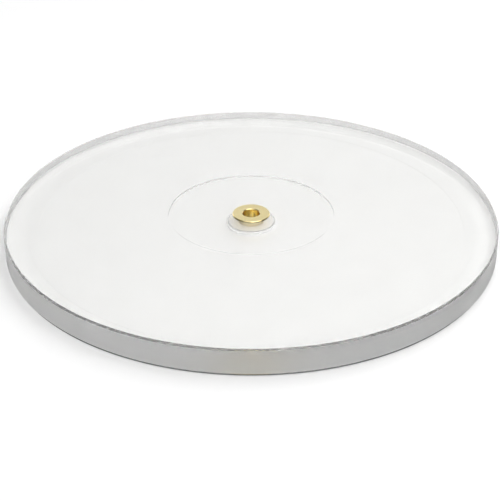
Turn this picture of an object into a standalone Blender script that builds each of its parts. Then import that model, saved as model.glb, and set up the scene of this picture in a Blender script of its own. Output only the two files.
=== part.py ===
"""Low display turntable: a clear acrylic platter that turns on a ball thrust bearing.

Every piece is turned about the vertical axis through the origin. The origin is on the
table under the middle of the platter, +Z is up, and all lengths are in metres.
"""
import math

import bmesh
import bpy

# Platter: a clear acrylic disc with a shallow recess as wide as a record's label.
PLATTER_RADIUS = 0.150
PLATTER_THICKNESS = 0.0162
RIM_CHAMFER = 0.0010
RECESS_RADIUS = PLATTER_RADIUS * 0.337
RECESS_DEPTH = 0.0009

# Centre bush: turned brass, its flange flush with the platter's top.
BORE_RADIUS = 0.0052
STEM_RADIUS = 0.00725
FLANGE_RADIUS = 0.0115
BORE_CHAMFER = 0.0003
FLANGE_EDGE = 0.00015

# Thrust bearing, in a pocket under the platter.
BALL_RADIUS = 0.0015
BALL_COUNT = 16
PITCH_RADIUS = 0.0110
RACE_INNER_RADIUS = 0.00775
RACE_OUTER_RADIUS = 0.01425
RACE_THICKNESS = 0.0010
GROOVE_DEPTH = 0.00025
GROOVE_CLEARANCE = 0.00006
CAGE_INNER_RADIUS = 0.0086
CAGE_OUTER_RADIUS = 0.0134
CAGE_THICKNESS = 0.0014
CAGE_CLEARANCE = 0.0001
POCKET_CLEARANCE = 0.0005

# Base: a thin steel plate on pads, with a slippery ring that steadies the platter's rim.
PAD_RADIUS = 0.0070
PAD_THICKNESS = 0.0003
PAD_COUNT = 8
PAD_CIRCLE_RADIUS = 0.125
PLATE_RADIUS = 0.1488
PLATE_THICKNESS = 0.0006
PLATE_EDGE = 0.0001
GLIDE_INNER_RADIUS = 0.130
GLIDE_OUTER_RADIUS = 0.136
GLIDE_THICKNESS = 0.0001
SPINDLE_RADIUS = 0.0051
SPINDLE_CHAMFER = 0.0008
SPINDLE_SHANK_RADIUS = 0.0035
SPINDLE_TOP_BELOW_PLATTER_TOP = 0.0070

# Gaps between pieces.
STACK_GAP = 0.00005
RUNNING_GAP = 0.0001

# Facets around each kind of turned piece.
LARGE_SEGMENTS = 72
MEDIUM_SEGMENTS = 36
SMALL_SEGMENTS = 16
GROOVE_STEPS = 4

# Heights worked out from the table up.
PLATE_BOTTOM = PAD_THICKNESS + STACK_GAP
PLATE_TOP = PLATE_BOTTOM + PLATE_THICKNESS
GLIDE_BOTTOM = PLATE_TOP + STACK_GAP
PLATTER_BOTTOM = GLIDE_BOTTOM + GLIDE_THICKNESS + RUNNING_GAP
PLATTER_TOP = PLATTER_BOTTOM + PLATTER_THICKNESS
LOWER_RACE_BOTTOM = PLATE_TOP + STACK_GAP
RACE_SPACING = 2 * (BALL_RADIUS - GROOVE_DEPTH + GROOVE_CLEARANCE)
BALL_HEIGHT = LOWER_RACE_BOTTOM + RACE_THICKNESS + RACE_SPACING / 2
UPPER_RACE_BOTTOM = LOWER_RACE_BOTTOM + RACE_THICKNESS + RACE_SPACING
POCKET_CEILING = UPPER_RACE_BOTTOM + RACE_THICKNESS + STACK_GAP
POCKET_RADIUS = RACE_OUTER_RADIUS + POCKET_CLEARANCE
FLANGE_THICKNESS = RECESS_DEPTH - STACK_GAP

# Surface of each material: colour, metallic, roughness, transmission.
FINISHES = {
    "clear_acrylic": ((0.93, 0.93, 0.91), 0.0, 0.12, 1.0),
    "brass": ((0.74, 0.58, 0.27), 1.0, 0.30, 0.0),
    "white_powder_coat": ((0.86, 0.86, 0.85), 0.0, 0.55, 0.0),
    "white_acetal": ((0.82, 0.82, 0.80), 0.0, 0.40, 0.0),
    "white_ptfe": ((0.90, 0.90, 0.89), 0.0, 0.50, 0.0),
    "bearing_steel": ((0.60, 0.60, 0.61), 1.0, 0.15, 0.0),
    "ground_steel": ((0.52, 0.52, 0.53), 1.0, 0.28, 0.0),
    "silicone": ((0.70, 0.70, 0.69), 0.0, 0.65, 0.0),
}


def remove_everything():
    """Empty the scene."""
    for item in list(bpy.data.objects):
        bpy.data.objects.remove(item)


def make_material(name):
    """Return a new Principled material with the finish of that name."""
    colour, metallic, roughness, transmission = FINISHES[name]
    material = bpy.data.materials.new(name)
    material.use_nodes = True
    shader = material.node_tree.nodes["Principled BSDF"]
    shader.inputs["Base Color"].default_value = (*colour, 1.0)
    shader.inputs["Metallic"].default_value = metallic
    shader.inputs["Roughness"].default_value = roughness
    shader.inputs["Transmission Weight"].default_value = transmission
    return material


def add_object(name, mesh, finish, location=(0.0, 0.0, 0.0), parent=None):
    """Link one named sub-part, smooth where its facets turn gently."""
    mesh.shade_smooth()
    mesh.set_sharp_from_angle(angle=math.radians(30))
    if not mesh.materials:
        mesh.materials.append(make_material(finish))
    piece = bpy.data.objects.new(name, mesh)
    piece.location = location
    piece.parent = parent
    bpy.context.scene.collection.objects.link(piece)
    return piece


def add_axis(name, height):
    """Link an empty on the turning axis, which carries the pieces that turn together."""
    axis = bpy.data.objects.new(name, None)
    axis.location = (0.0, 0.0, height)
    bpy.context.scene.collection.objects.link(axis)
    return axis


def turned_mesh(name, outline, segments):
    """Spin an outline of (radius, height) points once about Z into a closed mesh.

    The outline is a closed loop, or an open one that starts and ends on the axis.
    """
    on_axis = outline[0][0] == 0.0
    shape = bmesh.new()
    points = [shape.verts.new((radius, 0.0, height)) for radius, height in outline]
    edges = [shape.edges.new(pair) for pair in zip(points, points[1:])]
    if not on_axis:
        edges.append(shape.edges.new((points[-1], points[0])))
    bmesh.ops.spin(shape, geom=points + edges, cent=(0, 0, 0), axis=(0, 0, 1),
                   angle=math.tau, steps=segments, use_merge=True)
    bmesh.ops.remove_doubles(shape, verts=shape.verts, dist=1e-6)
    bmesh.ops.recalc_face_normals(shape, faces=shape.faces)
    mesh = bpy.data.meshes.new(name)
    shape.to_mesh(mesh)
    shape.free()
    return mesh


def groove_points():
    """Points (radius, depth) of the ball groove's arc, from its outer lip to its inner one."""
    arc_radius = BALL_RADIUS + GROOVE_CLEARANCE
    half_angle = math.acos(1 - GROOVE_DEPTH / arc_radius)
    points = []
    for step in range(GROOVE_STEPS + 1):
        angle = half_angle * (1 - 2 * step / GROOVE_STEPS)
        depth = GROOVE_DEPTH - arc_radius * (1 - math.cos(angle))
        points.append((PITCH_RADIUS + arc_radius * math.sin(angle), max(depth, 0.0)))
    return points


def race_outline(groove_up):
    """Outline of a thrust washer whose ball groove faces up or down."""
    outline = [(RACE_INNER_RADIUS, 0.0), (RACE_OUTER_RADIUS, 0.0),
               (RACE_OUTER_RADIUS, RACE_THICKNESS)]
    outline += [(radius, RACE_THICKNESS - depth) for radius, depth in groove_points()]
    outline += [(RACE_INNER_RADIUS, RACE_THICKNESS)]
    if groove_up:
        return outline
    return [(radius, RACE_THICKNESS - height) for radius, height in outline]


def make_platter(axis):
    """Acrylic disc with its recess, chamfered rims, centre hole and bearing pocket."""
    hole = STEM_RADIUS + RUNNING_GAP
    pocket_depth = POCKET_CEILING - PLATTER_BOTTOM
    recess_floor = PLATTER_THICKNESS - RECESS_DEPTH
    outline = [
        (hole, pocket_depth), (hole, recess_floor),
        (RECESS_RADIUS, recess_floor), (RECESS_RADIUS, PLATTER_THICKNESS),
        (PLATTER_RADIUS - RIM_CHAMFER, PLATTER_THICKNESS),
        (PLATTER_RADIUS, PLATTER_THICKNESS - RIM_CHAMFER),
        (PLATTER_RADIUS, RIM_CHAMFER), (PLATTER_RADIUS - RIM_CHAMFER, 0.0),
        (POCKET_RADIUS, 0.0), (POCKET_RADIUS, pocket_depth),
    ]
    mesh = turned_mesh("platter", outline, LARGE_SEGMENTS)
    add_object("platter", mesh, "clear_acrylic", parent=axis)


def make_centre_bush(axis):
    """Brass bush whose flange lies in the recess and whose stem lines the centre hole."""
    top = PLATTER_THICKNESS
    flange_bottom = top - FLANGE_THICKNESS
    outline = [
        (BORE_RADIUS, 0.0), (STEM_RADIUS, 0.0), (STEM_RADIUS, flange_bottom),
        (FLANGE_RADIUS, flange_bottom), (FLANGE_RADIUS, top - FLANGE_EDGE),
        (FLANGE_RADIUS - FLANGE_EDGE, top), (BORE_RADIUS + BORE_CHAMFER, top),
        (BORE_RADIUS, top - BORE_CHAMFER),
    ]
    mesh = turned_mesh("centre_bush", outline, MEDIUM_SEGMENTS)
    add_object("centre_bush", mesh, "brass", parent=axis)


def make_upper_race(axis):
    """Washer in the pocket's ceiling, groove down, turning with the platter."""
    mesh = turned_mesh("upper_race", race_outline(groove_up=False), MEDIUM_SEGMENTS)
    height = UPPER_RACE_BOTTOM - PLATTER_BOTTOM
    add_object("upper_race", mesh, "white_acetal", (0.0, 0.0, height), axis)


def ball_places():
    """Centres of the balls, evenly spaced on the pitch circle at the cage's own height."""
    places = []
    for index in range(BALL_COUNT):
        angle = math.tau * index / BALL_COUNT
        places.append((PITCH_RADIUS * math.cos(angle), PITCH_RADIUS * math.sin(angle), 0.0))
    return places


def cage_cutter():
    """One wire object with an upright cylinder through the cage at each ball's place."""
    shape = bmesh.new()
    for place in ball_places():
        made = bmesh.ops.create_cone(shape, cap_ends=True, segments=SMALL_SEGMENTS,
                                     radius1=BALL_RADIUS + CAGE_CLEARANCE,
                                     radius2=BALL_RADIUS + CAGE_CLEARANCE,
                                     depth=2 * CAGE_THICKNESS)
        bmesh.ops.translate(shape, verts=made["verts"], vec=place)
    mesh = bpy.data.meshes.new("cage_cutter")
    shape.to_mesh(mesh)
    shape.free()
    cutter = bpy.data.objects.new("cage_cutter", mesh)
    cutter.hide_render = True
    cutter.display_type = "WIRE"
    bpy.context.scene.collection.objects.link(cutter)
    return cutter


def make_ball_cage(axis):
    """Flat ring with a round pocket for each ball."""
    half = CAGE_THICKNESS / 2
    outline = [(CAGE_INNER_RADIUS, -half), (CAGE_OUTER_RADIUS, -half),
               (CAGE_OUTER_RADIUS, half), (CAGE_INNER_RADIUS, half)]
    mesh = turned_mesh("ball_cage", outline, MEDIUM_SEGMENTS)
    cage = add_object("ball_cage", mesh, "white_acetal", parent=axis)
    cutter = cage_cutter()
    cutter.parent = axis
    cut = cage.modifiers.new("ball_pockets", "BOOLEAN")
    cut.operation = "DIFFERENCE"
    cut.object = cutter


def make_balls(axis):
    """Steel balls in the cage's pockets, all sharing one mesh."""
    shape = bmesh.new()
    bmesh.ops.create_icosphere(shape, subdivisions=2, radius=BALL_RADIUS)
    mesh = bpy.data.meshes.new("ball")
    shape.to_mesh(mesh)
    shape.free()
    for number, place in enumerate(ball_places(), start=1):
        ball = add_object(f"ball_{number:02d}", mesh, "bearing_steel", place, axis)
        ball.rotation_euler = (0.0, 0.0, math.tau * (number - 1) / BALL_COUNT)


def make_lower_race():
    """Washer that lies on the base plate, groove up."""
    mesh = turned_mesh("lower_race", race_outline(groove_up=True), MEDIUM_SEGMENTS)
    add_object("lower_race", mesh, "white_acetal", (0.0, 0.0, LOWER_RACE_BOTTOM))


def make_spindle():
    """Pivot pin: a thin shank clinched in the plate's hole and a journal inside the bush."""
    shank_top = PLATE_TOP - PLATE_BOTTOM + STACK_GAP
    top = PLATTER_TOP - SPINDLE_TOP_BELOW_PLATTER_TOP - PLATE_BOTTOM
    outline = [(0.0, 0.0), (SPINDLE_SHANK_RADIUS, 0.0), (SPINDLE_SHANK_RADIUS, shank_top),
               (SPINDLE_RADIUS, shank_top), (SPINDLE_RADIUS, top - SPINDLE_CHAMFER),
               (SPINDLE_RADIUS - SPINDLE_CHAMFER, top), (0.0, top)]
    mesh = turned_mesh("spindle", outline, MEDIUM_SEGMENTS)
    add_object("spindle", mesh, "ground_steel", (0.0, 0.0, PLATE_BOTTOM))


def make_base_plate():
    """Thin steel disc with a hole for the spindle's shank."""
    hole = SPINDLE_SHANK_RADIUS + STACK_GAP
    outline = [(hole, 0.0), (PLATE_RADIUS - PLATE_EDGE, 0.0), (PLATE_RADIUS, PLATE_EDGE),
               (PLATE_RADIUS, PLATE_THICKNESS - PLATE_EDGE),
               (PLATE_RADIUS - PLATE_EDGE, PLATE_THICKNESS), (hole, PLATE_THICKNESS)]
    mesh = turned_mesh("base_plate", outline, LARGE_SEGMENTS)
    add_object("base_plate", mesh, "white_powder_coat", (0.0, 0.0, PLATE_BOTTOM))


def make_glide_ring():
    """Thin flat ring that holds the platter's rim up when it is loaded off centre."""
    outline = [(GLIDE_INNER_RADIUS, 0.0), (GLIDE_OUTER_RADIUS, 0.0),
               (GLIDE_OUTER_RADIUS, GLIDE_THICKNESS), (GLIDE_INNER_RADIUS, GLIDE_THICKNESS)]
    mesh = turned_mesh("glide_ring", outline, LARGE_SEGMENTS)
    add_object("glide_ring", mesh, "white_ptfe", (0.0, 0.0, GLIDE_BOTTOM))


def make_foot_pads():
    """Thin pads in a circle under the plate, all sharing one mesh."""
    outline = [(0.0, 0.0), (PAD_RADIUS, 0.0), (PAD_RADIUS, PAD_THICKNESS), (0.0, PAD_THICKNESS)]
    mesh = turned_mesh("foot_pad", outline, SMALL_SEGMENTS)
    for number in range(1, PAD_COUNT + 1):
        angle = math.tau * (number - 0.5) / PAD_COUNT
        place = (PAD_CIRCLE_RADIUS * math.cos(angle), PAD_CIRCLE_RADIUS * math.sin(angle), 0.0)
        add_object(f"foot_pad_{number:02d}", mesh, "silicone", place)


def main():
    """Build the whole turntable."""
    remove_everything()
    platter_axis = add_axis("platter_axis", PLATTER_BOTTOM)
    make_platter(platter_axis)
    make_centre_bush(platter_axis)
    make_upper_race(platter_axis)
    cage_axis = add_axis("cage_axis", BALL_HEIGHT)
    make_ball_cage(cage_axis)
    make_balls(cage_axis)
    make_lower_race()
    make_spindle()
    make_base_plate()
    make_glide_ring()
    make_foot_pads()


main()
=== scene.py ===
"""Looks of the low display turntable: fine turned pieces and materials around the CAD frame."""
import math

import bmesh
import bpy
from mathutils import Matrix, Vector


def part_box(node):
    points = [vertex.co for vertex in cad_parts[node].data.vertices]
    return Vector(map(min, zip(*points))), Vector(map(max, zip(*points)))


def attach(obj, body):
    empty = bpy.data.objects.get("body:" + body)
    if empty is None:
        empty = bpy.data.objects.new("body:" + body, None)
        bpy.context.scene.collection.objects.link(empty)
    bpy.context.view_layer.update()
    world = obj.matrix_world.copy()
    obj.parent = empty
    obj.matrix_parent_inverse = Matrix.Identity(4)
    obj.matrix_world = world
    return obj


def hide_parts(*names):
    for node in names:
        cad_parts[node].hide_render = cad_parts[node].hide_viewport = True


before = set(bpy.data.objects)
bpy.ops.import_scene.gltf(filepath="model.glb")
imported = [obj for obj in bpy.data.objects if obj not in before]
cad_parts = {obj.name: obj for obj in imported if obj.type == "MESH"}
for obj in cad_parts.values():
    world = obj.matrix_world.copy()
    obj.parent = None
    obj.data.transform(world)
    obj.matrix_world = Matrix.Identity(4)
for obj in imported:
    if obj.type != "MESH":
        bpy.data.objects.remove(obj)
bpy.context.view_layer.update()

# Camera, aimed at the platter's top from the front. The lens and the sensor are in
# millimetres, and every other length here is in metres.
CAMERA_DISTANCE = 0.7626
CAMERA_RISE = 0.4128
CAMERA_AIM = (-0.00067, -0.04566)
CAMERA_LENS = 101.87
CAMERA_SENSOR = 36.0
CAMERA_NEAR = 0.01

# The studio. The sky's radiance is given by the sine of the elevation, in front of the
# turntable, behind it and at its sides. A direction's flat part counts as at least this much,
# because it is nothing straight overhead. The softboxes have a place, a size and a power in
# watts.
SKY = (
    (0.00, 1.4, 1.4, 1.4),
    (0.20, 1.4, 1.0, 1.4),
    (0.47, 1.4, 0.57, 0.18),
    (0.75, 1.1, 1.15, 0.18),
    (1.00, 1.17, 1.17, 1.17),
)
SKY_LEAST_FLAT = 0.0001
SOFTBOXES = (
    ("softbox_above", (0.0, 0.0, 1.1), 0.6, 1.0),
    ("softbox_behind", (0.55, 0.6, 0.8), 0.6, 2.0),
    ("softbox_right", (0.42, 0.0, 0.75), 0.4, 0.6),
    ("softbox_near", (0.25, -0.3, 0.66), 0.5, 0.8),
)
FLOOR_RADIUS = 6.0
FLOOR_SEGMENTS = 96
FLOOR_COLOUR = (0.94, 0.94, 0.94, 1.0)

# Facets of the turned pieces, steps across a rounded corner, and how far before and after it
# a supporting point lies. Points closer than the merge distance become one, and an edge with
# more than the sharp angle stays an edge in the shading.
LARGE_SEGMENTS = 360
SMALL_SEGMENTS = 144
PAD_SEGMENTS = 64
CORNER_STEPS = 4
SUPPORT = 0.00004
MERGE_DISTANCE = 1e-7
SHARP_ANGLE = math.radians(35)

# Roundings of the turned corners, smallest first.
ROUNDING_CRISP = 0.00005
ROUNDING_FINE = 0.00008
ROUNDING_SMALL = 0.0001
ROUNDING_RIM = 0.00012
ROUNDING_STEP = 0.00015
ROUNDING_SOFT = 0.0002
ROUNDING_WIDE = 0.0003

# Platter: its cuts, and the play round the upper race in its pocket.
PLATTER_CHAMFER = 0.0010
RECESS_RADIUS = 0.05055
RECESS_DEPTH = 0.0009
POCKET_PLAY = 0.0005

# Bush: the stem is a press fit, so it touches the acrylic all round.
BUSH_BORE = 0.0052
BUSH_STEM = 0.00725
BUSH_BEVEL = 0.00045
FLANGE_THICKNESS = 0.00085
PRESS_FIT = 0.00003

# Bearing: races, balls and cage.
STACK_GAP = 0.00005
RACE_STEM_GAP = 0.0005
GROOVE_DEPTH = 0.00025
GROOVE_CLEARANCE = 0.00006
GROOVE_STEPS = 16
BALL_COUNT = 16
BALL_SUBDIVISIONS = 4
CAGE_WIDTH = 0.0048
CAGE_POCKET_RADIUS = 0.0016
CAGE_CURVE_STEPS = 24
CAGE_BEVEL_STEPS = 2

# Base: plate, glide ring, spindle and foot pads.
PLATE_HOLE = 0.00355
GLIDE_WIDTH = 0.006
SHANK_RADIUS = 0.0035
SPINDLE_CHAMFER = 0.0008
SPINDLE_DIMPLE = 0.0005
PAD_COUNT = 8
PAD_RADIUS = 0.0070

# Most of a noise's values lie between these two.
NOISE_LOW = 0.3
NOISE_HIGH = 0.7

# A material's grain and its changes of tone; scales are in features per metre.
GRAIN_DETAIL = 4.0
TONE_SCALE = 60.0
METAL_TONE_SCALE = 90.0
MARK_DETAIL = 2.0

# Acrylic: the finish of each of the platter's surfaces, and the sheet's own colour.
FACE_ROUGHNESS = 0.11
UNDERSIDE_ROUGHNESS = 0.08
WALL_ROUGHNESS = 0.50
CHAMFER_ROUGHNESS = 0.04
POCKET_ROUGHNESS = 0.14
RECESS_ROUGHNESS = 0.20
CEILING_ROUGHNESS = 0.10
ROUGHNESS_SPREAD = (0.9, 1.1)
FACE_HAZE = 0.14
ACRYLIC_IOR = 1.49
ACRYLIC_GRAIN_SCALE = 2500.0
ACRYLIC_GRAIN_ROUGHNESS = 0.6
ACRYLIC_GRAIN_HEIGHT = 0.000002
ACRYLIC_TONE_SCALE = 40.0
ACRYLIC_TONES = ((0.99, 0.99, 0.985), (1.0, 1.0, 0.995))
ACRYLIC_ABSORPTION_COLOUR = (0.25, 0.25, 0.25, 1.0)
ACRYLIC_ABSORPTION_DENSITY = 3.0

# Where one finish of the platter ends and the next begins: how far each reaches past its own
# surface. The chamfer's and the wall's reach inwards from the rim, in shares of the chamfer.
STEP_MARGIN = 0.0002
POCKET_MARGIN = 0.00015
CEILING_MARGIN = 0.0001
CHAMFER_REACH = 1.1
WALL_REACH = 0.04

# Turned metals: tones, lowest and highest roughness, and the tool marks' pitch and height.
BRASS = {"tones": ((0.86, 0.73, 0.38), (0.92, 0.80, 0.45)), "roughness": (0.24, 0.40),
         "pitch": 0.00012, "mark_height": 0.000002}
GROUND_STEEL = {"tones": ((0.78, 0.78, 0.78), (0.86, 0.86, 0.86)), "roughness": (0.12, 0.22),
                "pitch": 0.00010, "mark_height": 0.000001}

# The brass bush's polished edges, and the painted shade round its flange: a dark band on the
# flange's side, which starts after this share of the bevel.
EDGE_POLISH = 0.08
BORE_POLISH = 0.16
FLANGE_PAINTED_SHADE = (0.08, 0.065, 0.04, 1.0)
SHADE_START = 0.8

# Other materials: tones, lowest and highest roughness, and the grain's scale and height.
ACETAL = {"tones": ((0.93, 0.93, 0.93), (0.96, 0.96, 0.96)), "roughness": (0.35, 0.48),
          "grain_scale": 2000.0, "grain_height": 0.000004}
PTFE = {"tones": ((0.91, 0.91, 0.905), (0.93, 0.93, 0.925)), "roughness": (0.40, 0.50),
        "grain_scale": 1500.0, "grain_height": 0.000003}
POWDER_COAT = {"tones": ((0.91, 0.91, 0.905), (0.94, 0.94, 0.935)), "roughness": (0.45, 0.60),
               "grain_scale": 3000.0, "grain_height": 0.000006}
SILICONE = {"tones": ((0.66, 0.66, 0.65), (0.72, 0.72, 0.71)), "roughness": (0.55, 0.75),
            "grain_scale": 2500.0, "grain_height": 0.000008}
BALL_STEEL = {"tones": ((0.58, 0.58, 0.59), (0.64, 0.64, 0.65)), "roughness": (0.08, 0.16),
              "grain_scale": 4000.0, "grain_height": 0.0000003, "metallic": 1.0}

# Painted shade: the upper race's grey rim, for the dark gap round it in its pocket, and the
# near-black cut edge of the base plate, for the dark line under the platter's rim.
RACE_RIM_PAINTED_SHADE = (0.25, 0.25, 0.25, 1.0)
RACE_RIM_WIDTH = 0.0004
CUT_EDGE_SHADE_TONES = ((0.07, 0.07, 0.07), (0.10, 0.10, 0.10))
CUT_EDGE_SHADE_SCALE = 900.0
CUT_EDGE_WIDTH = 0.0001

# Light paths: enough bounces for the light trapped inside the acrylic.
MAX_BOUNCES = 32
GLOSSY_BOUNCES = 16

platter_low, platter_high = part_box("platter")
PLATTER_RADIUS = platter_high[0]
PLATTER_TOP = platter_high[2]
PLATTER_BOTTOM = platter_low[2]
upper_race_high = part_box("upper_race")[1]
POCKET_RADIUS = upper_race_high[0] + POCKET_PLAY
POCKET_CEILING = upper_race_high[2] + STACK_GAP


# ---------------------------------------------------------------- turned shapes

def rounded_outline(corners):
    """Turn corners (radius, height, rounding) of a closed outline into a fine point list.

    Each rounding becomes an arc, with one more point just before and after it, so that
    the flats beside it shade flat.
    """
    points = []
    count = len(corners)
    for index, (radius, height, rounding) in enumerate(corners):
        here = Vector((radius, height))
        if rounding == 0.0:
            points.append(here)
            continue
        before = (Vector(corners[index - 1][:2]) - here).normalized()
        after = (Vector(corners[(index + 1) % count][:2]) - here).normalized()
        half = before.angle(after) / 2
        reach = rounding / math.tan(half)
        middle = here + (before + after).normalized() * (rounding / math.sin(half))
        start = here + before * reach
        end = here + after * reach
        points.append(start + before * SUPPORT)
        turn = math.pi - 2 * half
        for step in range(CORNER_STEPS + 1):
            share = step / CORNER_STEPS
            weight_start = math.sin((1 - share) * turn) / math.sin(turn)
            weight_end = math.sin(share * turn) / math.sin(turn)
            points.append(middle + (start - middle) * weight_start
                          + (end - middle) * weight_end)
        points.append(end + after * SUPPORT)
    return points


def turned(name, corners, segments, material):
    """Spin an outline of rounded corners about Z into a closed mesh object."""
    points = rounded_outline(corners)
    shape = bmesh.new()
    ring = [shape.verts.new((max(point[0], 0.0), 0.0, point[1])) for point in points]
    edges = [shape.edges.new(pair) for pair in zip(ring, ring[1:])]
    if points[0][0] > 0.0:
        edges.append(shape.edges.new((ring[-1], ring[0])))
    bmesh.ops.spin(shape, geom=ring + edges, cent=(0, 0, 0), axis=(0, 0, 1),
                   angle=math.tau, steps=segments, use_merge=True)
    bmesh.ops.remove_doubles(shape, verts=shape.verts, dist=MERGE_DISTANCE)
    bmesh.ops.recalc_face_normals(shape, faces=shape.faces)
    mesh = bpy.data.meshes.new(name)
    shape.to_mesh(mesh)
    shape.free()
    mesh.materials.append(material)
    mesh.shade_smooth()
    mesh.set_sharp_from_angle(angle=SHARP_ANGLE)
    piece = bpy.data.objects.new(name, mesh)
    bpy.context.scene.collection.objects.link(piece)
    return piece


# ---------------------------------------------------------------- shader nodes

def feed(tree, socket, value):
    """Link an input to another socket, or set it to a plain value."""
    if isinstance(value, bpy.types.NodeSocket):
        tree.links.new(value, socket)
    else:
        socket.default_value = value


def calculated(tree, operation, *values):
    """Result of a math node whose inputs are numbers or sockets."""
    node = tree.nodes.new("ShaderNodeMath")
    node.operation = operation
    for socket, value in zip(node.inputs, values):
        feed(tree, socket, value)
    return node.outputs["Value"]


def above(tree, value, threshold):
    """Mask that is 1 where a value is over a threshold, and 0 elsewhere."""
    return calculated(tree, "GREATER_THAN", value, threshold)


def below(tree, value, threshold):
    """Mask that is 1 where a value is under a threshold, and 0 elsewhere."""
    return calculated(tree, "LESS_THAN", value, threshold)


def both(tree, first, second):
    """Mask that is 1 where two masks are."""
    return calculated(tree, "MULTIPLY", first, second)


def switched(tree, mask, elsewhere, inside):
    """Number that is inside where the mask is 1, and elsewhere where it is 0."""
    node = tree.nodes.new("ShaderNodeMix")
    node.data_type = "FLOAT"
    feed(tree, node.inputs["Factor"], mask)
    feed(tree, node.inputs["A"], elsewhere)
    feed(tree, node.inputs["B"], inside)
    return node.outputs["Result"]


def coordinates(tree, kind):
    """X, Y and Z of a point, as three sockets."""
    source = tree.nodes.new("ShaderNodeTexCoord")
    split = tree.nodes.new("ShaderNodeSeparateXYZ")
    tree.links.new(source.outputs[kind], split.inputs["Vector"])
    return [split.outputs[axis] for axis in "XYZ"]


def height_of(tree):
    """Height of a point over the table."""
    return coordinates(tree, "Object")[2]


def radius_from_axis(tree):
    """Distance of a point from the turning axis."""
    across, depth, _ = coordinates(tree, "Object")
    flat = tree.nodes.new("ShaderNodeCombineXYZ")
    length = tree.nodes.new("ShaderNodeVectorMath")
    length.operation = "LENGTH"
    tree.links.new(across, flat.inputs["X"])
    tree.links.new(depth, flat.inputs["Y"])
    tree.links.new(flat.outputs["Vector"], length.inputs[0])
    return length.outputs["Value"]


def noise(tree, scale, detail=3.0, roughness=0.5):
    """Noise over the object's own coordinates, in features per metre."""
    coords = tree.nodes.new("ShaderNodeTexCoord")
    texture = tree.nodes.new("ShaderNodeTexNoise")
    texture.inputs["Scale"].default_value = scale
    texture.inputs["Detail"].default_value = detail
    texture.inputs["Roughness"].default_value = roughness
    tree.links.new(coords.outputs["Object"], texture.inputs["Vector"])
    return texture.outputs["Fac"]


def turning_marks(tree, pitch):
    """Height of fine concentric marks, one for each pitch, made uneven by a noise."""
    rings = tree.nodes.new("ShaderNodeTexNoise")
    rings.noise_dimensions = "1D"
    rings.inputs["Scale"].default_value = 1.0
    rings.inputs["Detail"].default_value = MARK_DETAIL
    counted = calculated(tree, "MULTIPLY", radius_from_axis(tree), 1.0 / pitch)
    tree.links.new(counted, rings.inputs["W"])
    return rings.outputs["Fac"]


def mapped(tree, source, lowest, highest):
    """Spread a noise over a range of values."""
    ranged = tree.nodes.new("ShaderNodeMapRange")
    ranged.inputs["From Min"].default_value = NOISE_LOW
    ranged.inputs["From Max"].default_value = NOISE_HIGH
    ranged.inputs["To Min"].default_value = lowest
    ranged.inputs["To Max"].default_value = highest
    tree.links.new(source, ranged.inputs["Value"])
    return ranged.outputs["Result"]


def mixed_colour(tree, source, first, second):
    """Blend two colours by a noise."""
    ramp = tree.nodes.new("ShaderNodeValToRGB")
    start, end = ramp.color_ramp.elements
    start.position = NOISE_LOW
    end.position = NOISE_HIGH
    start.color = (*first, 1.0)
    end.color = (*second, 1.0)
    tree.links.new(source, ramp.inputs["Fac"])
    return ramp.outputs["Color"]


def bump(tree, shader, source, height):
    """Raise the surface by a noise."""
    node = tree.nodes.new("ShaderNodeBump")
    node.inputs["Strength"].default_value = 1.0
    node.inputs["Distance"].default_value = height
    tree.links.new(source, node.inputs["Height"])
    tree.links.new(node.outputs["Normal"], shader.inputs["Normal"])


# ---------------------------------------------------------------- materials

def new_material(name):
    """Return a new material with its node tree and Principled shader."""
    material = bpy.data.materials.new(name)
    material.use_nodes = True
    tree = material.node_tree
    return material, tree, tree.nodes["Principled BSDF"]


def repaint(material, mask, colour):
    """Give a material another colour where a mask is 1."""
    tree = material.node_tree
    base_colour = tree.nodes["Principled BSDF"].inputs["Base Color"]
    tone = tree.nodes.new("ShaderNodeMixRGB")
    feed(tree, tone.inputs["Fac"], mask)
    feed(tree, tone.inputs["Color1"], base_colour.links[0].from_socket)
    feed(tree, tone.inputs["Color2"], colour)
    tree.links.new(tone.outputs["Color"], base_colour)


def plain(name, tones, roughness, grain_scale, grain_height, metallic=0.0):
    """Opaque material with a slight change of tone, and a grain that moves its roughness."""
    material, tree, shader = new_material(name)
    grain = noise(tree, grain_scale, GRAIN_DETAIL)
    shader.inputs["Metallic"].default_value = metallic
    tone = mixed_colour(tree, noise(tree, TONE_SCALE), *tones)
    tree.links.new(tone, shader.inputs["Base Color"])
    tree.links.new(mapped(tree, grain, *roughness), shader.inputs["Roughness"])
    bump(tree, shader, grain, grain_height)
    return material


def turned_metal(name, tones, roughness, pitch, mark_height):
    """Metal with fine concentric tool marks and a slight change of tone."""
    material, tree, shader = new_material(name)
    marks = turning_marks(tree, pitch)
    shader.inputs["Metallic"].default_value = 1.0
    tone = mixed_colour(tree, noise(tree, METAL_TONE_SCALE), *tones)
    tree.links.new(tone, shader.inputs["Base Color"])
    tree.links.new(mapped(tree, marks, *roughness), shader.inputs["Roughness"])
    bump(tree, shader, marks, mark_height)
    return material


def acrylic_masks(tree):
    """Masks of the platter's surfaces, by the distance from the axis and the height."""
    reach = radius_from_axis(tree)
    height = height_of(tree)
    upper = above(tree, height, (PLATTER_TOP + PLATTER_BOTTOM) / 2)
    recess = both(tree, upper, below(tree, reach, RECESS_RADIUS + STEP_MARGIN))
    pocket = both(tree, below(tree, reach, POCKET_RADIUS + POCKET_MARGIN),
                  below(tree, height, POCKET_CEILING + CEILING_MARGIN))
    return {
        "upper": upper,
        "recess": recess,
        "step": both(tree, recess, above(tree, reach, RECESS_RADIUS - STEP_MARGIN)),
        "pocket": pocket,
        "ceiling": both(tree, pocket, above(tree, height, POCKET_CEILING - CEILING_MARGIN)),
        "chamfer": above(tree, reach, PLATTER_RADIUS - CHAMFER_REACH * PLATTER_CHAMFER),
        "wall": above(tree, reach, PLATTER_RADIUS - WALL_REACH * PLATTER_CHAMFER),
    }


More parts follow.
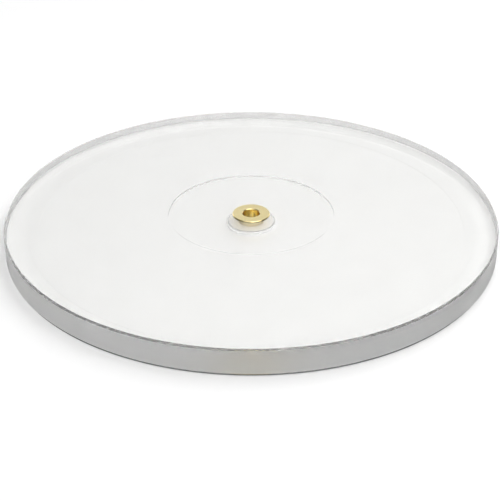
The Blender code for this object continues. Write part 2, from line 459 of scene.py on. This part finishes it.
def acrylic(name):
    """Clear cast acrylic, each of whose surfaces has a finish of its own.

    It is one material, so that a single closed surface bounds the coloured volume.
    """
    material, tree, shader = new_material(name)
    masks = acrylic_masks(tree)
    roughness = UNDERSIDE_ROUGHNESS
    for surface, finish in (
            ("upper", FACE_ROUGHNESS), ("recess", RECESS_ROUGHNESS),
            ("step", CHAMFER_ROUGHNESS), ("pocket", POCKET_ROUGHNESS),
            ("ceiling", CEILING_ROUGHNESS), ("chamfer", CHAMFER_ROUGHNESS),
            ("wall", WALL_ROUGHNESS)):
        roughness = switched(tree, masks[surface], roughness, finish)
    grain = noise(tree, ACRYLIC_GRAIN_SCALE, GRAIN_DETAIL, ACRYLIC_GRAIN_ROUGHNESS)
    uneven = calculated(tree, "MULTIPLY", roughness, mapped(tree, grain, *ROUGHNESS_SPREAD))
    tree.links.new(uneven, shader.inputs["Roughness"])
    clear = 1.0
    for surface, share in (("upper", 1.0 - FACE_HAZE), ("chamfer", 1.0), ("step", 1.0)):
        clear = switched(tree, masks[surface], clear, share)
    tree.links.new(clear, shader.inputs["Transmission Weight"])
    shader.inputs["IOR"].default_value = ACRYLIC_IOR
    tint = mixed_colour(tree, noise(tree, ACRYLIC_TONE_SCALE), *ACRYLIC_TONES)
    tree.links.new(tint, shader.inputs["Base Color"])
    bump(tree, shader, grain, ACRYLIC_GRAIN_HEIGHT)
    absorb = tree.nodes.new("ShaderNodeVolumeAbsorption")
    absorb.inputs["Color"].default_value = ACRYLIC_ABSORPTION_COLOUR
    absorb.inputs["Density"].default_value = ACRYLIC_ABSORPTION_DENSITY
    output = next(node for node in tree.nodes if node.type == "OUTPUT_MATERIAL")
    tree.links.new(absorb.outputs["Volume"], output.inputs["Volume"])
    return material


def bush_brass(flange, top):
    """Turned brass with a smoother bore, a polished flange edge and painted shade, a dark band,
    round the flange's side.
    """
    material = turned_metal("brass_turned", **BRASS)
    tree = material.node_tree
    finish = tree.nodes["Principled BSDF"].inputs["Roughness"]
    reach = radius_from_axis(tree)
    edge = flange - BUSH_BEVEL
    roughness = finish.links[0].from_socket
    roughness = switched(tree, below(tree, reach, BUSH_BORE + BUSH_BEVEL), roughness,
                         BORE_POLISH)
    roughness = switched(tree, above(tree, reach, edge), roughness, EDGE_POLISH)
    tree.links.new(roughness, finish)
    # Painted shade: a dark band on the flange's side, below its bevel.
    flange_shade = both(tree, above(tree, reach, edge + SHADE_START * BUSH_BEVEL),
                below(tree, height_of(tree), top - BUSH_BEVEL))
    repaint(material, flange_shade, FLANGE_PAINTED_SHADE)
    return material


# ---------------------------------------------------------------- pieces

def make_platter():
    """Acrylic platter: satin top and recess, machined wall, chamfers, bearing pocket."""
    hole = BUSH_STEM - PRESS_FIT
    recess_floor = PLATTER_TOP - RECESS_DEPTH
    face_edge = PLATTER_RADIUS - PLATTER_CHAMFER
    corners = [
        (hole, POCKET_CEILING, 0.0),
        (hole, recess_floor, ROUNDING_FINE),
        (RECESS_RADIUS, recess_floor, ROUNDING_STEP),
        (RECESS_RADIUS, PLATTER_TOP, ROUNDING_RIM),
        (face_edge, PLATTER_TOP, ROUNDING_RIM),
        (PLATTER_RADIUS, PLATTER_TOP - PLATTER_CHAMFER, ROUNDING_RIM),
        (PLATTER_RADIUS, PLATTER_BOTTOM + PLATTER_CHAMFER, ROUNDING_RIM),
        (face_edge, PLATTER_BOTTOM, ROUNDING_RIM),
        (POCKET_RADIUS, PLATTER_BOTTOM, ROUNDING_SOFT),
        (POCKET_RADIUS, POCKET_CEILING, ROUNDING_WIDE),
    ]
    piece = turned("platter_disc", corners, LARGE_SEGMENTS, acrylic("acrylic_cast_clear"))
    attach(piece, "platter")
    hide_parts("platter")


def make_bush():
    """Turned brass bush: bevelled flange, bore with a broken edge, and a long stem."""
    low_corner, high_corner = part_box("centre_bush")
    bottom, top, flange = low_corner[2], high_corner[2], high_corner[0]
    flange_bottom = top - FLANGE_THICKNESS
    corners = [
        (BUSH_BORE, bottom, ROUNDING_SOFT),
        (BUSH_STEM, bottom, ROUNDING_SOFT),
        (BUSH_STEM, flange_bottom, ROUNDING_SMALL),
        (flange, flange_bottom, ROUNDING_SMALL),
        (flange, top - BUSH_BEVEL, ROUNDING_FINE),
        (flange - BUSH_BEVEL, top, ROUNDING_FINE),
        (BUSH_BORE + BUSH_BEVEL, top, ROUNDING_FINE),
        (BUSH_BORE, top - BUSH_BEVEL, ROUNDING_FINE),
    ]
    piece = turned("bush_turned", corners, SMALL_SEGMENTS, bush_brass(flange, top))
    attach(piece, "platter")
    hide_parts("centre_bush")


def make_base_plate():
    """Thin white powder-coated steel disc, with painted shade, near-black, on its cut edge."""
    low_corner, high_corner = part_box("base_plate")
    bottom, top, radius = low_corner[2], high_corner[2], high_corner[0]
    corners = [
        (PLATE_HOLE, bottom, ROUNDING_CRISP),
        (radius, bottom, ROUNDING_FINE),
        (radius, top, ROUNDING_FINE),
        (PLATE_HOLE, top, ROUNDING_CRISP),
    ]
    material = plain("powder_coat_white", **POWDER_COAT)
    tree = material.node_tree
    # Painted shade: the cut edge is near-black, for the dark line under the platter's rim.
    edge_shade = mixed_colour(tree, noise(tree, CUT_EDGE_SHADE_SCALE), *CUT_EDGE_SHADE_TONES)
    repaint(material, above(tree, radius_from_axis(tree), radius - CUT_EDGE_WIDTH), edge_shade)
    piece = turned("plate_disc", corners, LARGE_SEGMENTS, material)
    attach(piece, "base")
    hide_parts("base_plate")


def make_glide_ring():
    """Thin white slippery band that steadies the platter's rim."""
    low_corner, high_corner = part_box("glide_ring")
    bottom, top, outer = low_corner[2], high_corner[2], high_corner[0]
    inner = outer - GLIDE_WIDTH
    corners = [
        (inner, bottom, 0.0),
        (outer, bottom, 0.0),
        (outer, top, ROUNDING_CRISP),
        (inner, top, ROUNDING_CRISP),
    ]
    piece = turned("glide_band", corners, LARGE_SEGMENTS, plain("ptfe_white", **PTFE))
    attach(piece, "base")
    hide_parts("glide_ring")


def groove(depth):
    """Outline corners of a ball groove, outer lip first, as (radius, depth into the race)."""
    low_corner, high_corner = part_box("ball_01")
    ball_radius = (high_corner[2] - low_corner[2]) / 2
    pitch = (high_corner[0] + low_corner[0]) / 2
    arc = ball_radius + GROOVE_CLEARANCE
    half = math.acos(1 - depth / arc)
    corners = []
    for step in range(GROOVE_STEPS + 1):
        angle = half * (1 - 2 * step / GROOVE_STEPS)
        corners.append((pitch + arc * math.sin(angle), depth - arc * (1 - math.cos(angle))))
    return corners


def make_race(node, name, body, groove_up, material):
    """White thrust washer with softened rims and a round ball groove."""
    low_corner, high_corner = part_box(node)
    bottom, top, outer = low_corner[2], high_corner[2], high_corner[0]
    inner = BUSH_STEM + RACE_STEM_GAP
    rim = ROUNDING_RIM
    face, back, inward = (top, bottom, -1) if groove_up else (bottom, top, 1)
    corners = [(inner, back, rim), (outer, back, 3 * rim), (outer, face, rim)]
    corners += [(radius, face + inward * depth, 0.0)
                for radius, depth in groove(GROOVE_DEPTH)]
    corners += [(inner, face, rim)]
    piece = turned(name, corners, SMALL_SEGMENTS, material)
    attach(piece, body)
    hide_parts(node)


def add_circle(curve, centre, radius):
    """Add one closed round spline of four Bezier points to a flat curve."""
    handle = radius * 4 / 3 * math.tan(math.pi / 8)
    spline = curve.splines.new("BEZIER")
    spline.bezier_points.add(3)
    spline.use_cyclic_u = True
    for quarter, point in enumerate(spline.bezier_points):
        angle = quarter * math.pi / 2
        out = Vector((math.cos(angle), math.sin(angle), 0.0))
        along = Vector((-math.sin(angle), math.cos(angle), 0.0))
        point.co = centre + out * radius
        point.handle_left = point.co - along * handle
        point.handle_right = point.co + along * handle


def ball_centre(number):
    """Middle of one of the bearing's balls."""
    low_corner, high_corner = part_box(f"ball_{number:02d}")
    return (Vector(low_corner) + Vector(high_corner)) / 2


def make_ball_cage(material):
    """Flat acetal ring with a round pocket for each ball, all its edges softened."""
    low_corner, high_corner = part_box("ball_cage")
    thickness = high_corner[2] - low_corner[2]
    outer = high_corner[0]
    curve = bpy.data.curves.new("cage_ring", "CURVE")
    curve.dimensions = "2D"
    curve.fill_mode = "BOTH"
    curve.resolution_u = CAGE_CURVE_STEPS
    curve.extrude = thickness / 2 - ROUNDING_RIM
    curve.bevel_depth = ROUNDING_RIM
    curve.bevel_resolution = CAGE_BEVEL_STEPS
    curve.offset = -ROUNDING_RIM
    add_circle(curve, Vector((0.0, 0.0, 0.0)), outer)
    add_circle(curve, Vector((0.0, 0.0, 0.0)), outer - CAGE_WIDTH)
    for number in range(1, BALL_COUNT + 1):
        centre = ball_centre(number)
        add_circle(curve, Vector((centre.x, centre.y, 0.0)), CAGE_POCKET_RADIUS)
    curve.materials.append(material)
    piece = bpy.data.objects.new("cage_ring", curve)
    piece.location = (0.0, 0.0, (low_corner[2] + high_corner[2]) / 2)
    bpy.context.scene.collection.objects.link(piece)
    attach(piece, "cage")
    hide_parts("ball_cage")


def make_balls():
    """Polished steel balls in the cage's pockets, all of one mesh."""
    low_corner, high_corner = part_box("ball_01")
    material = plain("ball_steel", **BALL_STEEL)
    shape = bmesh.new()
    bmesh.ops.create_icosphere(shape, subdivisions=BALL_SUBDIVISIONS,
                               radius=(high_corner[2] - low_corner[2]) / 2)
    mesh = bpy.data.meshes.new("bearing_ball")
    shape.to_mesh(mesh)
    shape.free()
    mesh.shade_smooth()
    mesh.materials.append(material)
    for number in range(1, BALL_COUNT + 1):
        piece = bpy.data.objects.new(f"bearing_ball_{number:02d}", mesh)
        piece.location = ball_centre(number)
        bpy.context.scene.collection.objects.link(piece)
        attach(piece, "cage")
        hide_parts(f"ball_{number:02d}")


def make_bearing():
    """Thrust bearing: two acetal races, the upper one with painted shade, grey, at its rim,
    with cage and balls.
    """
    acetal = plain("acetal_white", **ACETAL)
    acetal_shaded_rim = plain("acetal_painted_shade_rim", **ACETAL)
    tree = acetal_shaded_rim.node_tree
    # Painted shade: the upper race's rim is grey, for the dark gap round it in its pocket.
    rim = above(tree, radius_from_axis(tree), upper_race_high[0] - RACE_RIM_WIDTH)
    repaint(acetal_shaded_rim, rim, RACE_RIM_PAINTED_SHADE)
    make_race("upper_race", "upper_washer", "platter", False, acetal_shaded_rim)
    make_race("lower_race", "lower_washer", "base", True, acetal)
    make_ball_cage(acetal)
    make_balls()


def make_spindle():
    """Ground steel pivot pin with a centre-drilled top and a shank clinched in the plate."""
    low_corner, high_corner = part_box("spindle")
    bottom, top, journal = low_corner[2], high_corner[2], high_corner[0]
    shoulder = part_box("base_plate")[1][2] + STACK_GAP
    corners = [
        (0.0, bottom, 0.0),
        (SHANK_RADIUS, bottom, ROUNDING_FINE),
        (SHANK_RADIUS, shoulder, ROUNDING_CRISP),
        (journal, shoulder, ROUNDING_SMALL),
        (journal, top - SPINDLE_CHAMFER, ROUNDING_SOFT),
        (journal - SPINDLE_CHAMFER, top, ROUNDING_SOFT),
        (SPINDLE_DIMPLE, top, ROUNDING_SMALL),
        (0.0, top - SPINDLE_DIMPLE, 0.0),
    ]
    material = turned_metal("steel_ground", **GROUND_STEEL)
    piece = turned("spindle_pin", corners, SMALL_SEGMENTS, material)
    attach(piece, "base")
    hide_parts("spindle")


def make_foot_pads():
    """Thin pale silicone pads with rounded rims."""
    low_corner, high_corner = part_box("foot_pad_01")
    thickness = high_corner[2] - low_corner[2]
    corners = [
        (0.0, 0.0, 0.0),
        (PAD_RADIUS, 0.0, ROUNDING_FINE),
        (PAD_RADIUS, thickness, ROUNDING_FINE),
        (0.0, thickness, 0.0),
    ]
    material = plain("silicone_grey", **SILICONE)
    for number in range(1, PAD_COUNT + 1):
        node = f"foot_pad_{number:02d}"
        low_corner, high_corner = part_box(node)
        piece = turned(f"pad_{number:02d}", corners, PAD_SEGMENTS, material)
        piece.location = ((low_corner[0] + high_corner[0]) / 2,
                          (low_corner[1] + high_corner[1]) / 2, low_corner[2])
        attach(piece, "base")
        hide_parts(node)


# ---------------------------------------------------------------- studio

def make_camera():
    """Long lens in front of the turntable, looking down on it."""
    data = bpy.data.cameras.new("camera")
    data.lens = CAMERA_LENS
    data.sensor_width = CAMERA_SENSOR
    data.clip_start = CAMERA_NEAR
    camera = bpy.data.objects.new("camera", data)
    camera.location = (0.0, -CAMERA_DISTANCE, PLATTER_TOP + CAMERA_RISE)
    aim = Vector((*CAMERA_AIM, PLATTER_TOP))
    camera.rotation_euler = (aim - camera.location).to_track_quat("-Z", "Y").to_euler()
    bpy.context.scene.collection.objects.link(camera)
    bpy.context.scene.camera = camera


def sky_band(tree, height, column):
    """Radiance of one of the sky's three sides over the sine of the elevation."""
    ramp = tree.nodes.new("ShaderNodeValToRGB")
    stops = ramp.color_ramp.elements
    while len(stops) < len(SKY):
        stops.new(0.5)
    for stop, row in zip(stops, SKY):
        stop.position = row[0]
        stop.color = (row[column], row[column], row[column], 1.0)
    tree.links.new(height, ramp.inputs["Fac"])
    return ramp.outputs["Color"]


def make_world():
    """Soft studio sky: bright in front, behind and overhead, dim halfway up at the sides.

    The three sides are blended by the squares of the direction's flat components, as shares
    of the flat length's square, which is kept over nought straight overhead.
    """
    world = bpy.data.worlds.new("studio")
    bpy.context.scene.world = world
    world.use_nodes = True
    tree = world.node_tree
    across, depth, height = coordinates(tree, "Generated")
    height_squared = calculated(tree, "MULTIPLY", height, height)
    flat_squared = calculated(tree, "MAXIMUM",
                              calculated(tree, "SUBTRACT", 1.0, height_squared),
                              SKY_LEAST_FLAT)
    front = calculated(tree, "MINIMUM", depth, 0.0)
    back = calculated(tree, "MAXIMUM", depth, 0.0)
    total = 0.0
    for column, part in ((1, front), (2, back), (3, across)):
        part_squared = calculated(tree, "MULTIPLY", part, part)
        share = calculated(tree, "DIVIDE", part_squared, flat_squared)
        lit = calculated(tree, "MULTIPLY", share, sky_band(tree, height, column))
        total = calculated(tree, "ADD", lit, total)
    tree.links.new(total, tree.nodes["Background"].inputs["Color"])


def make_softboxes():
    """Square softboxes round the turntable, each aimed at its middle."""
    for name, place, size, power in SOFTBOXES:
        light = bpy.data.lights.new(name, "AREA")
        light.shape = "SQUARE"
        light.size = size
        light.energy = power
        softbox = bpy.data.objects.new(name, light)
        softbox.location = place
        softbox.rotation_euler = (-softbox.location).to_track_quat("-Z", "Y").to_euler()
        bpy.context.scene.collection.objects.link(softbox)


def make_floor():
    """Plain white floor."""
    shape = bmesh.new()
    bmesh.ops.create_circle(shape, cap_ends=True, segments=FLOOR_SEGMENTS,
                            radius=FLOOR_RADIUS)
    mesh = bpy.data.meshes.new("floor")
    shape.to_mesh(mesh)
    shape.free()
    material, _, shader = new_material("floor_white")
    shader.inputs["Base Color"].default_value = FLOOR_COLOUR
    shader.inputs["Roughness"].default_value = 1.0
    shader.inputs["Specular IOR Level"].default_value = 0.0
    mesh.materials.append(material)
    floor = bpy.data.objects.new("floor", mesh)
    bpy.context.scene.collection.objects.link(floor)


def set_look():
    """Plain colour handling, long light paths with nothing blurred, and denoising."""
    scene = bpy.context.scene
    scene.view_settings.view_transform = "Standard"
    scene.view_settings.look = "None"
    scene.cycles.max_bounces = MAX_BOUNCES
    scene.cycles.transmission_bounces = MAX_BOUNCES
    scene.cycles.glossy_bounces = GLOSSY_BOUNCES
    scene.cycles.blur_glossy = 0.0
    scene.cycles.use_denoising = True


make_camera()
make_world()
make_softboxes()
make_floor()
make_platter()
make_bush()
make_base_plate()
make_glide_ring()
make_bearing()
make_spindle()
make_foot_pads()
set_look()
